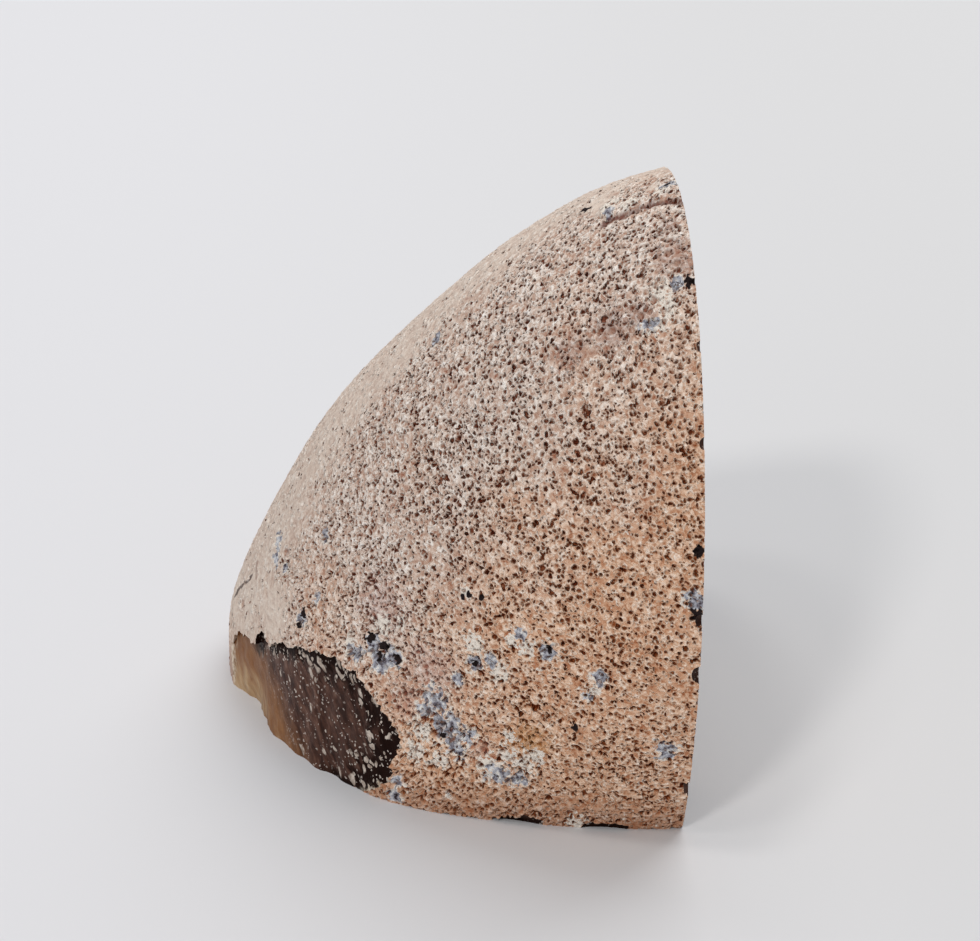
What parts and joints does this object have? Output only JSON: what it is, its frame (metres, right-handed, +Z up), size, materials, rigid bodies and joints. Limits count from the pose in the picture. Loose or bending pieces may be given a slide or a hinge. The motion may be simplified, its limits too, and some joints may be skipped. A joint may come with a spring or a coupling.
{
  "type": "cut agate",
  "caption": "End of an agate nodule with a finely pitted rind, sawn across on an upright face and stood on a sawn flat base, with a flake broken from one corner.",
  "frame": {"origin": "middle of the bounding box, at the flat sawn base", "axes": "+X out of the upright sawn face, +Y along the stone's longest side, +Z up from the base"},
  "size_m": [0.0564, 0.0858, 0.0799],
  "materials": {
    "agate": "matte"
  },
  "bodies": {
    "root": {"agate": "agate"}
  },
  "joints": []
}
